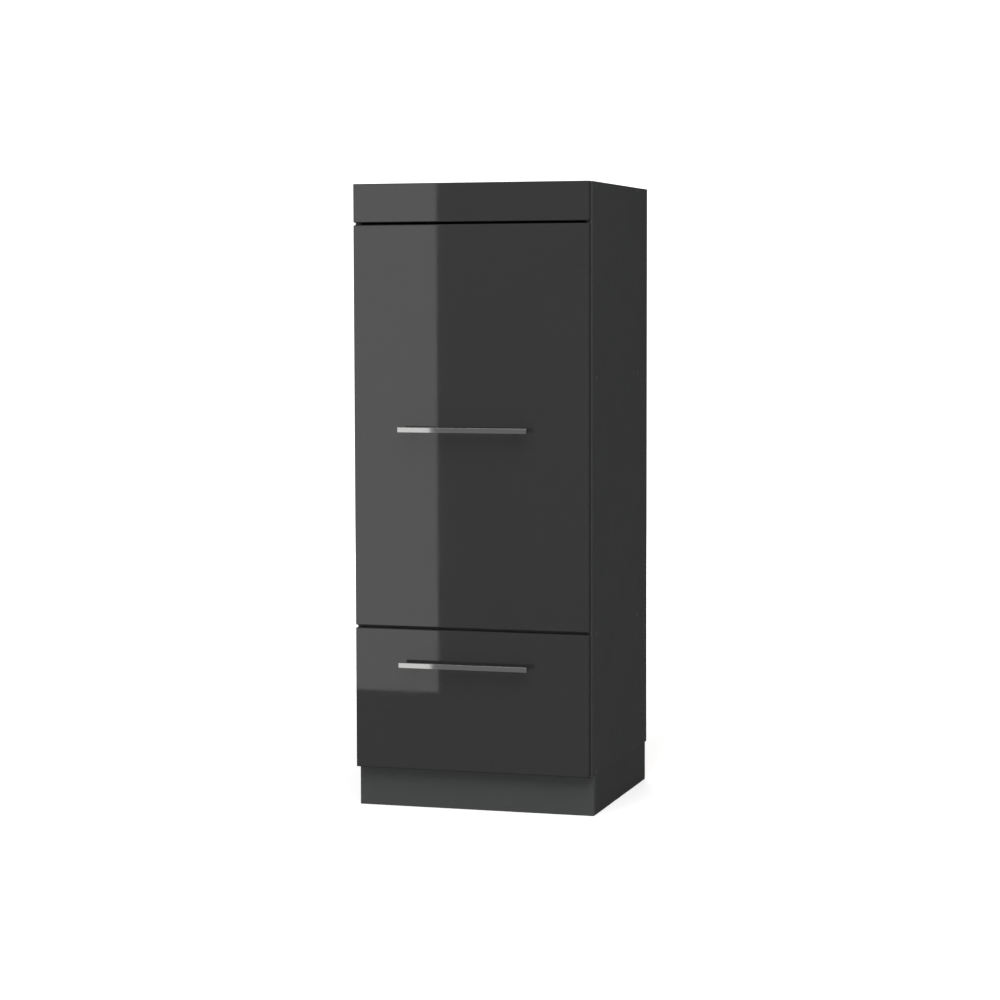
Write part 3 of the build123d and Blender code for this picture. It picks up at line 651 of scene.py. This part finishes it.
def stepRing(shape, ring, share, height):
    # extrudes a ring about Z, scales the new ring and sets it at a height
    grown = bmesh.ops.extrude_edge_only(shape, edges=ring)["geom"]
    verts = onlyVerts(grown)
    bmesh.ops.scale(shape, verts=verts, vec=(share, share, 1.0))
    bmesh.ops.translate(shape, verts=verts, vec=(0.0, 0.0, height - verts[0].co.z))
    return onlyEdges(grown)


screwSet = {
    "steps": 24,
    "crown": ((0.80, 1.0), (0.93, 0.82), (1.0, 0.45), (1.0, 0.0)),  # shares of the head's radius and height
    "recess": {"reach": 0.56, "half": 0.13, "depth": 0.72, "taper": 0.6},
    "tip": (0.25, 1.8),  # share of the shank's radius, and length in shank radii
    "nodes": {
        "hinge_plate_screws": ("hingePlateCrossScrews", "carcass"),
        "hinge_arm_screws": ("hingeArmCrossScrews", "carcass"),
        "hinge_cup_screws": ("hingeCupCrossScrews", "door"),
        "runner_screws": ("runnerCrossScrews", "carcass"),
        "fascia_bracket_screws": ("fasciaCrossScrews", "carcass"),
        "drawer_bracket_screws": ("drawerCrossScrews", "drawer"),
        "door_handle_screws": ("doorHandleCrossScrews", "door"),
        "drawer_handle_screws": ("drawerHandleCrossScrews", "drawer"),
    },
}


def readScrew(points):
    # where the head sits, the way it faces, and the sizes of head and shank
    low, high = boxOf(points)
    axis = max(range(3), key=lambda index: high[index] - low[index])
    middle = (low + high) / 2
    levels = sorted({round(point[axis], 5) for point in points})

    def radiusAt(level):
        spread = [point - middle for point in points if abs(point[axis] - level) < levelGap]
        return max(math.hypot(*(offset[index] for index in range(3) if index != axis)) for offset in spread)

    if radiusAt(levels[0]) > radiusAt(levels[-1]):
        levels.reverse()
    tip, seat, top = levels
    start = middle.copy()
    start[axis] = seat
    direction = Vector((0.0, 0.0, 0.0))
    direction[axis] = math.copysign(1.0, top - seat)
    return placed(start, direction), radiusAt(top), abs(top - seat), radiusAt(tip), abs(seat - tip)


def crossScrew(headRadius, head, shankRadius, shank):
    recess = screwSet["recess"]
    reach, half = recess["reach"] * headRadius, recess["half"] * headRadius
    corners = ((reach, -half, head), (reach, half, head), (half, half, head))
    shape = bmesh.new()
    verts = []
    for quarter in range(4):
        turn = Matrix.Rotation(quarter * math.pi / 2, 3, "Z")
        verts += [shape.verts.new(turn @ Vector(corner)) for corner in corners]
    mouth = [shape.edges.new(pair) for pair in zip(verts, verts[1:] + verts[:1])]
    radius = screwSet["crown"][0][0] * headRadius
    rim = bmesh.ops.create_circle(shape, segments=screwSet["steps"], radius=radius)["verts"]
    bmesh.ops.translate(shape, verts=rim, vec=(0.0, 0.0, head))
    ring = list(dict.fromkeys(edge for vert in rim for edge in vert.link_edges))
    bmesh.ops.bridge_loops(shape, edges=mouth + ring)
    tipShare, tipLength = screwSet["tip"]
    rings = [(share * headRadius, level * head) for share, level in screwSet["crown"][1:]]
    rings += [(shankRadius, 0.0), (shankRadius, tipLength * shankRadius - shank)]
    rings.append((tipShare * shankRadius, -shank))
    for newRadius, height in rings:
        ring = stepRing(shape, ring, newRadius / radius, height)
        radius = newRadius
    bmesh.ops.holes_fill(shape, edges=ring)
    floorRing = stepRing(shape, mouth, recess["taper"], head * (1.0 - recess["depth"]))
    bmesh.ops.holes_fill(shape, edges=floorRing)
    bmesh.ops.recalc_face_normals(shape, faces=shape.faces)
    return shape


def makeScrews():
    for nodeName, (pieceName, body) in screwSet["nodes"].items():
        whole = bmesh.new()
        for points in looseSolids(nodeName):
            place, *sizes = readScrew(points)
            joinShape(whole, crossScrew(*sizes), place)
        addPiece(pieceName, whole, body, "zinc_screw", nodeName)


capSet = {
    "stud": 5.9,
    "deep": 1.2,
    "rim": ((6.95, 1.2), (7.0, 1.27), (6.9, 1.42), (6.5, 1.5), (5.5, 1.5), (5.2, 1.43)),
}


def makeCaps():
    # moulded discs whose thin rims lie on the side panels
    stud, deep, rim = capSet["stud"], capSet["deep"], capSet["rim"]
    profile = [(0.0, 0.0), (stud, 0.0), (stud, deep), *rim, (0.0, rim[-1][1])]
    whole = bmesh.new()
    for low, high in looseBoxes("screw_caps"):
        way = math.copysign(1.0, low.x)
        start = (low + high) / 2
        start.x = low.x if way > 0 else high.x
        joinShape(whole, turned(profile), placed(start, (way, 0.0, 0.0)))
    addPiece("roundScrewCaps", whole, "carcass", "cap_plastic", "screw_caps")


pinSet = {"stud": 2.4, "deep": 9.9, "collar": 4.5, "collarDeep": 1.2, "peg": 3.5, "pegLong": 9.0, "flat": 2.5,
          "ease": 0.4}


def makeShelfPins():
    # a stud in the bore, a collar against the panel and a peg with a flat seat under the shelf
    stud, deep, peg, ease = pinSet["stud"], pinSet["deep"], pinSet["peg"], pinSet["ease"]
    collar, collarDeep = pinSet["collar"], pinSet["collarDeep"]
    root = collarDeep - ease  # the peg starts inside the collar
    tip = collarDeep + pinSet["pegLong"]
    base = [(0.0, -deep), (stud - ease, -deep), (stud, ease - deep), (stud, 0.0), (collar, 0.0),
            (collar, collarDeep - ease), (collar - ease, collarDeep), (0.0, collarDeep)]
    pegProfile = [(0.0, root), (peg, root), (peg, tip - 2 * ease), (peg - 2 * ease, tip), (0.0, tip)]
    whole = bmesh.new()
    for low, high in looseBoxes("shelf_pins"):
        way = -math.copysign(1.0, low.x)
        start = (low + high) / 2
        start.x = (low.x if way < 0 else high.x) - way * tip * mm
        place = placed(start, (way, 0.0, 0.0))
        joinShape(whole, turned(base), place)
        seat = turned(pegProfile)
        bmesh.ops.bisect_plane(seat, geom=seat.verts[:] + seat.edges[:] + seat.faces[:], clear_outer=True,
                               plane_co=(0.0, pinSet["flat"] * mm, 0.0), plane_no=(0.0, 1.0, 0.0))
        bmesh.ops.holes_fill(seat, edges=seat.edges)
        joinShape(whole, seat, place)
    addPiece("turnedShelfPins", whole, "carcass", "nickel_steel", "shelf_pins")


rollerSet = {
    "steps": 56,
    "half": ((2.55, 3.5), (3.8, 3.5), (4.1, 2.6), (6.9, 2.6), (7.2, 3.5), (8.5, 3.5), (8.9, 3.1), (9.0, 1.2)),
    "nodes": {"rail_roller_left": "railWheelLeft", "rail_roller_right": "railWheelRight",
              "drawer_roller_left": "drawerWheelLeft", "drawer_roller_right": "drawerWheelRight"},
}


def makeRollers():
    # nylon wheels with a hub, a thin web and a crowned tyre
    profile = [*rollerSet["half"], *((radius, -height) for radius, height in reversed(rollerSet["half"]))]
    for nodeName, pieceName in rollerSet["nodes"].items():
        low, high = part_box(nodeName)
        middle = (Vector(low) + Vector(high)) / 2
        whole = bmesh.new()
        joinShape(whole, turned(profile, rollerSet["steps"], closed=True), placed(middle, (1.0, 0.0, 0.0)))
        addPiece(pieceName, whole, nodeName, "nylon", nodeName)


gallerySet = {
    "bore": 4.0,
    "tube": 5.0,
    "socket": ((0.0, 0.0), (7.7, 0.0), (8.0, 0.3), (8.0, 2.2), (7.7, 2.6), (6.9, 2.8), (6.9, 12.8),
               (6.5, 13.6), (6.0, 14.0), (5.4, 14.0), (5.05, 13.6), (5.05, 4.0), (0.0, 4.0)),
}


def makeGallery():
    # round tubes along the drawer's sides, plugged into flanged sockets
    bore, tube = gallerySet["bore"], gallerySet["tube"]
    tubes = bmesh.new()
    for low, high in looseBoxes("gallery_tubes"):
        long = (high.y - low.y) / mm
        profile = [(bore, 0.0), (tube, 0.0), (tube, long), (bore, long)]
        middle = (low + high) / 2
        joinShape(tubes, turned(profile, closed=True), placed((middle.x, low.y, middle.z), (0.0, 1.0, 0.0)))
    addPiece("roundGalleryTubes", tubes, "drawer", "runner_enamel", "gallery_tubes")
    sockets = bmesh.new()
    for low, high in looseBoxes("gallery_sockets"):
        middle = (low + high) / 2
        start, way = (low.y, 1.0) if middle.y < 0 else (high.y, -1.0)
        joinShape(sockets, turned(gallerySet["socket"]), placed((middle.x, start, middle.z), (0.0, way, 0.0)))
    addPiece("flangedGallerySockets", sockets, "drawer", "nylon", "gallery_sockets")


bumperSet = {
    "profile": ((0.0, 0.0), (4.0, 0.0), (4.0, 0.5), (3.8, 1.2), (3.2, 2.0), (2.2, 2.6), (1.1, 2.85),
                (0.0, 2.9)),
    "nodes": {"door_bumpers": ("doorBumperDomes", "door"), "drawer_bumpers": ("drawerBumperDomes", "drawer")},
}


def makeBumpers():
    for nodeName, (pieceName, body) in bumperSet["nodes"].items():
        whole = bmesh.new()
        for low, high in looseBoxes(nodeName):
            middle = (low + high) / 2
            place = placed((middle.x, low.y, middle.z), (0.0, 1.0, 0.0))
            joinShape(whole, turned(bumperSet["profile"]), place)
        addPiece(pieceName, whole, body, "bumper_rubber", nodeName)


handleSet = {
    "round": 0.4,
    "roundSteps": 5,
    "endRound": 0.3,
    "endSteps": 3,
    "post": ((0.0, 0.0), (4.6, 0.0), (5.0, 0.4), (5.0, 25.7), (4.7, 26.0), (0.0, 26.0)),
    "fronts": ("door", "drawer"),
}


def roundEdges(shape, edges, size, steps):
    bmesh.ops.bevel(shape, geom=edges, offset=size * mm, affect="EDGES", segments=steps,
                    profile=circleProfile, material=-1)


def makeHandles():
    # flat bars with softened edges on two round posts
    for front in handleSet["fronts"]:
        low, high = (Vector(corner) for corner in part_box(front + "_handle_bar"))
        bar = bmesh.new()
        bmesh.ops.create_cube(bar, size=1.0)
        bmesh.ops.scale(bar, verts=bar.verts, vec=high - low)
        longEdges = [edge for edge in bar.edges if abs(edge.verts[0].co.x - edge.verts[1].co.x) > weldGap]
        roundEdges(bar, longEdges, handleSet["round"], handleSet["roundSteps"])
        end = (high.x - low.x) / 2 - weldGap
        endEdges = [edge for edge in bar.edges if all(abs(vert.co.x) > end for vert in edge.verts)]
        endEdges = [edge for edge in endEdges if edge.verts[0].co.x * edge.verts[1].co.x > 0]
        roundEdges(bar, endEdges, handleSet["endRound"], handleSet["endSteps"])
        bmesh.ops.translate(bar, verts=bar.verts, vec=(low + high) / 2)
        addPiece(front + "FlatBar", bar, front, "handle_steel", front + "_handle_bar")
        posts = bmesh.new()
        for low, high in looseBoxes(front + "_handle_posts"):
            middle = (low + high) / 2
            place = placed((middle.x, high.y, middle.z), (0.0, -1.0, 0.0))
            joinShape(posts, turned(handleSet["post"]), place)
        addPiece(front + "RoundPosts", posts, front, "handle_steel", front + "_handle_posts")


cupSet = {
    "radius": 17.5,
    "deep": 13.5,
    "sheet": 0.6,
    "round": 2.4,
    "roundAngles": (0, 30, 60, 90),
    "flange": 18.2,
    "flangeHigh": 1.0,
    "flangeLip": 0.5,  # height at which the flange begins to slope
    "flangeSlope": 0.3,
    "mouthSlope": 0.1,
    "earStart": 17.65,  # within the flange
    "earLow": -1.0,  # across the hinge, from the cup's middle
    "earHigh": 15.0,
    "earReach": 31.0,
    "earRound": 5.0,
    "earSteps": 5,
    "steps": 72,
    "levels": {"lower": "pressedCupLower", "middle": "pressedCupMiddle", "upper": "pressedCupUpper"},
}


def cupShell():
    # a deep-drawn cup with a round bottom edge and a rolled flange
    outer, deep, sheet, bend = (cupSet[key] for key in ("radius", "deep", "sheet", "round"))
    flange, high, lip = cupSet["flange"], cupSet["flangeHigh"], cupSet["flangeLip"]
    turns = [math.radians(angle) for angle in cupSet["roundAngles"]]
    corner = [(math.sin(turn), math.cos(turn)) for turn in turns]
    outside = [(outer - bend + bend * x, bend - deep - bend * y) for x, y in corner]
    tight = bend - sheet
    inside = [(outer - bend + tight * x, bend - deep - tight * y) for x, y in reversed(corner)]
    rim = [(outer, 0.0), (flange, 0.0), (flange, lip), (flange - cupSet["flangeSlope"], high),
           (outer - cupSet["mouthSlope"], high), (outer - sheet, lip)]
    return turned([(0.0, -deep), *outside, *rim, *inside, (0.0, sheet - deep)], cupSet["steps"])


def cupEar(way):
    # a tongue from the rim of the cup to the screw, with round corners
    ear = bmesh.new()
    bmesh.ops.create_circle(ear, segments=cupSet["steps"], radius=cupSet["earStart"] * mm)
    low, high = cupSet["earLow"] * mm - weldGap, cupSet["earHigh"] * mm
    kept = [vert for vert in ear.verts if low < vert.co.x < high and way * vert.co.y > 0]
    arc = [edge for edge in ear.edges if all(vert in kept for vert in edge.verts)]
    bmesh.ops.delete(ear, geom=[edge for edge in ear.edges if edge not in arc], context="EDGES")
    far = onlyVerts(bmesh.ops.extrude_edge_only(ear, edges=ear.edges[:])["geom"])
    for vert in far:
        vert.co.y = way * cupSet["earReach"] * mm
    ends = [min(far, key=lambda vert: vert.co.x), max(far, key=lambda vert: vert.co.x)]
    bmesh.ops.bevel(ear, geom=ends, offset=cupSet["earRound"] * mm, affect="VERTICES",
                    segments=cupSet["earSteps"], profile=circleProfile, material=-1)
    bmesh.ops.recalc_face_normals(ear, faces=ear.faces)
    lifted = onlyVerts(bmesh.ops.extrude_face_region(ear, geom=ear.faces[:])["geom"])
    bmesh.ops.translate(ear, verts=lifted, vec=(0.0, 0.0, cupSet["flangeHigh"] * mm))
    bmesh.ops.recalc_face_normals(ear, faces=ear.faces)
    return ear


def makeHingeCups():
    # the cups open to the back of the door, with an ear above and below
    toBack = Matrix(((1, 0, 0, 0), (0, 0, 1, 0), (0, -1, 0, 0), (0, 0, 0, 1)))
    for level, pieceName in cupSet["levels"].items():
        low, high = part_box("hinge_cup_" + level)
        whole = bmesh.new()
        start = (low[0] + cupSet["flange"] * mm, high[1] - cupSet["flangeHigh"] * mm, (low[2] + high[2]) / 2)
        for part in (cupShell(), cupEar(1.0), cupEar(-1.0)):
            joinShape(whole, part, Matrix.Translation(start) @ toBack)
        addPiece(pieceName, whole, "door", "nickel_steel", "hinge_cup_" + level)


softEdgeSet = {
    "steps": 2,
    "sharpest": 50.0,  # degrees between faces from which an edge is rounded
    "steel": {
        "width": 0.22,
        "nodes": ("hinge_plates", "hinge_arm_lower", "hinge_arm_middle", "hinge_arm_upper", "fascia_brackets",
                  "drawer_front_brackets", "drawer_back_brackets", "drawer_side_left", "drawer_side_right",
                  "runner_rail_left", "runner_rail_right"),
    },
    "board": {
        "width": 0.45,
        "nodes": ("top_panel", "bottom_panel", "fixed_shelf", "drawer_divider", "lower_shelf", "upper_shelf",
                  "wall_rail", "plinth_front", "plinth_back", "plinth_left", "plinth_right", "plinth_blocks",
                  "drawer_floor", "drawer_back"),
    },
}


def softenEdges():
    # a small round on the edges of the sheet steel and the boards
    for values in (softEdgeSet["steel"], softEdgeSet["board"]):
        for nodeName in values["nodes"]:
            weld = nodes[nodeName].modifiers.new("weldFaces", "WELD")
            weld.merge_threshold = weldGap
            edge = nodes[nodeName].modifiers.new("softEdge", "BEVEL")
            edge.width = values["width"] * mm
            edge.segments = softEdgeSet["steps"]
            edge.limit_method = "ANGLE"
            edge.angle_limit = math.radians(softEdgeSet["sharpest"])
            edge.harden_normals = True


makeScrews()
makeCaps()
makeShelfPins()
makeRollers()
makeGallery()
makeBumpers()
makeHandles()
makeHingeCups()
softenEdges()
print("fittings made")


stageSet = {
    "radius": 9.0,
    "wall": 6.0,
    "sweep": 2.5,
    "sweepSteps": 8,
    "steps": 96,
    "colour": (0.86, 0.86, 0.86),
    "shade": 0.99,  # of the colour, at its darkest
    "roughness": 0.9,
    "pebble": 90.0,
    "cloud": 0.8,
    "floorGlow": (0.42, 1.0),  # near the cabinet, and from glowReach on
    "wallGlow": (1.0, 1.0),
    "glowReach": (1.0, 4.5),
}


def makeStagePiece(name, shape, glow):
    mesh = makeMesh(name, shape)
    for face in mesh.polygons:
        face.use_smooth = len(face.vertices) == 4
    piece = addObject(name, mesh)
    finish = Finish(name + "Paper")
    tree = finish.tree
    grain = finish.effect("grain", Pebble=stageSet["pebble"], Cloud=stageSet["cloud"])
    white = stageSet["colour"]
    shade = tuple(stageSet["shade"] * part for part in white)
    finish.feed("Base Color", mixColours(tree, grain["Shade"], white, shade))
    finish.plain(Roughness=stageSet["roughness"], Specular_IOR_Level=0.0, Emission_Color=(1.0, 1.0, 1.0, 1.0))
    seen = tree.nodes.new("ShaderNodeLightPath").outputs  # the paper is white to the eye and adds no light
    share = maths(tree, "ADD", seen["Is Camera Ray"], seen["Is Glossy Ray"])
    share = maths(tree, "ADD", share, seen["Is Transmission Ray"])
    away = vectorMaths(tree, "LENGTH", finish.place)["Value"]
    level = remap(tree, away, *stageSet["glowReach"], *glow)
    finish.feed("Emission Strength", maths(tree, "MULTIPLY", share, level))
    mesh.materials.append(finish.material)
    piece.visible_glossy = False  # the gloss fronts stay dark but for the card
    return piece


def makeStage():
    # a round floor, and a wall that sweeps up from its rim
    radius, sweep, sweepSteps = stageSet["radius"], stageSet["sweep"], stageSet["sweepSteps"]
    floorShape = bmesh.new()
    bmesh.ops.create_circle(floorShape, cap_ends=True, segments=stageSet["steps"], radius=radius)
    wallShape = bmesh.new()
    bmesh.ops.create_circle(wallShape, cap_ends=False, segments=stageSet["steps"], radius=radius)
    rim = wallShape.edges[:]
    for step in range(1, sweepSteps + 2):
        angle = math.pi / 2 * min(step, sweepSteps) / sweepSteps
        grown = bmesh.ops.extrude_edge_only(wallShape, edges=rim)["geom"]
        rim = onlyEdges(grown)
        reach = radius + sweep * math.sin(angle)
        height = sweep * (1 - math.cos(angle)) + (stageSet["wall"] if step > sweepSteps else 0.0)
        for vert in onlyVerts(grown):
            flat = Vector((vert.co.x, vert.co.y, 0.0)).normalized() * reach
            vert.co = (flat.x, flat.y, height)
    makeStagePiece("studioFloor", floorShape, stageSet["floorGlow"])
    wall = makeStagePiece("studioWall", wallShape, stageSet["wallGlow"])
    wall.visible_diffuse = False


cardSet = {"right": -0.5697, "left": -1.25, "low": 0.060, "high": 1.80, "y": -1.772, "glow": 1.25}


def makeCard():
    # a white board in front of the cabinet, seen only as its reflection in the gloss fronts and the bars
    left, right, low, high = (cardSet[key] for key in ("left", "right", "low", "high"))
    shape = bmesh.new()
    bmesh.ops.create_grid(shape, x_segments=1, y_segments=1, size=0.5)
    bmesh.ops.scale(shape, verts=shape.verts, vec=(right - left, high - low, 1.0))
    bmesh.ops.rotate(shape, verts=shape.verts, matrix=Matrix.Rotation(-math.pi / 2, 3, "X"))
    bmesh.ops.translate(shape, verts=shape.verts, vec=((right + left) / 2, cardSet["y"], (high + low) / 2))
    mesh = makeMesh("reflectorCard", shape)
    card = addObject("reflectorCard", mesh)
    finish = Finish("cardWhite")
    finish.plain(Base_Color=(0.0, 0.0, 0.0, 1.0), Emission_Color=(1.0, 1.0, 1.0, 1.0),
                 Emission_Strength=cardSet["glow"])
    mesh.materials.append(finish.material)
    card.visible_camera = False
    card.visible_shadow = False


lampSet = {  # a lamp that isn't mirrored shows in no gloss
    "sideSoft": {"place": (1.9, -1.5, 2.9), "aim": (0.3, -0.1, 1.1), "size": 1.2, "power": 11.0,
                 "mirrored": True},
    "keySoft": {"place": (0.9, -5.0, 6.6), "aim": (0.0, -0.27, 0.8), "size": 7.0, "power": 536.0,
                "mirrored": True},
    "fillSoft": {"place": (0.6, -6.5, 0.8), "aim": (0.0, -0.3, 0.5), "size": 1.6, "power": 36.0,
                 "mirrored": False},
    "rearSoft": {"place": (-1.8, 6.0, 4.0), "aim": (0.0, 0.3, 0.8), "size": 2.5, "power": 150.0,
                 "mirrored": True},
}
worldGrey = 0.26


def makeLight():
    for name, values in lampSet.items():
        lamp = bpy.data.lights.new(name, "AREA")
        lamp.size = values["size"]
        lamp.energy = values["power"]
        holder = addObject(name, lamp)
        holder.visible_camera = False
        holder.visible_glossy = values["mirrored"]
        holder.location = values["place"]
        aim = Vector(values["aim"]) - Vector(values["place"])
        holder.rotation_euler = aim.to_track_quat("-Z", "Y").to_euler()
    world = bpy.data.worlds.new("greyRoom")
    world.use_nodes = True
    world.node_tree.nodes["Background"].inputs["Color"].default_value = (worldGrey, worldGrey, worldGrey, 1.0)
    bpy.context.scene.world = world


cameraSet = {"place": (1.9370, -6.5157, 1.2644), "yaw": 16.610, "tilt": -4.345, "roll": -0.143,
             "lens": 97.178, "sensor": 36.0}


def makeCamera():
    camera = bpy.data.cameras.new("photoCamera")
    camera.lens = cameraSet["lens"]
    camera.sensor_width = cameraSet["sensor"]
    holder = addObject("photoCamera", camera)
    turn = Matrix.Rotation(math.radians(cameraSet["yaw"]), 4, "Z")
    turn = turn @ Matrix.Rotation(math.radians(90.0 + cameraSet["tilt"]), 4, "X")
    turn = turn @ Matrix.Rotation(math.radians(cameraSet["roll"]), 4, "Z")
    holder.matrix_world = Matrix.Translation(cameraSet["place"]) @ turn
    bpy.context.scene.camera = holder


makeStage()
makeCard()
makeLight()
makeCamera()
bpy.context.scene.view_settings.view_transform = "Standard"
print("stage, light and camera set")
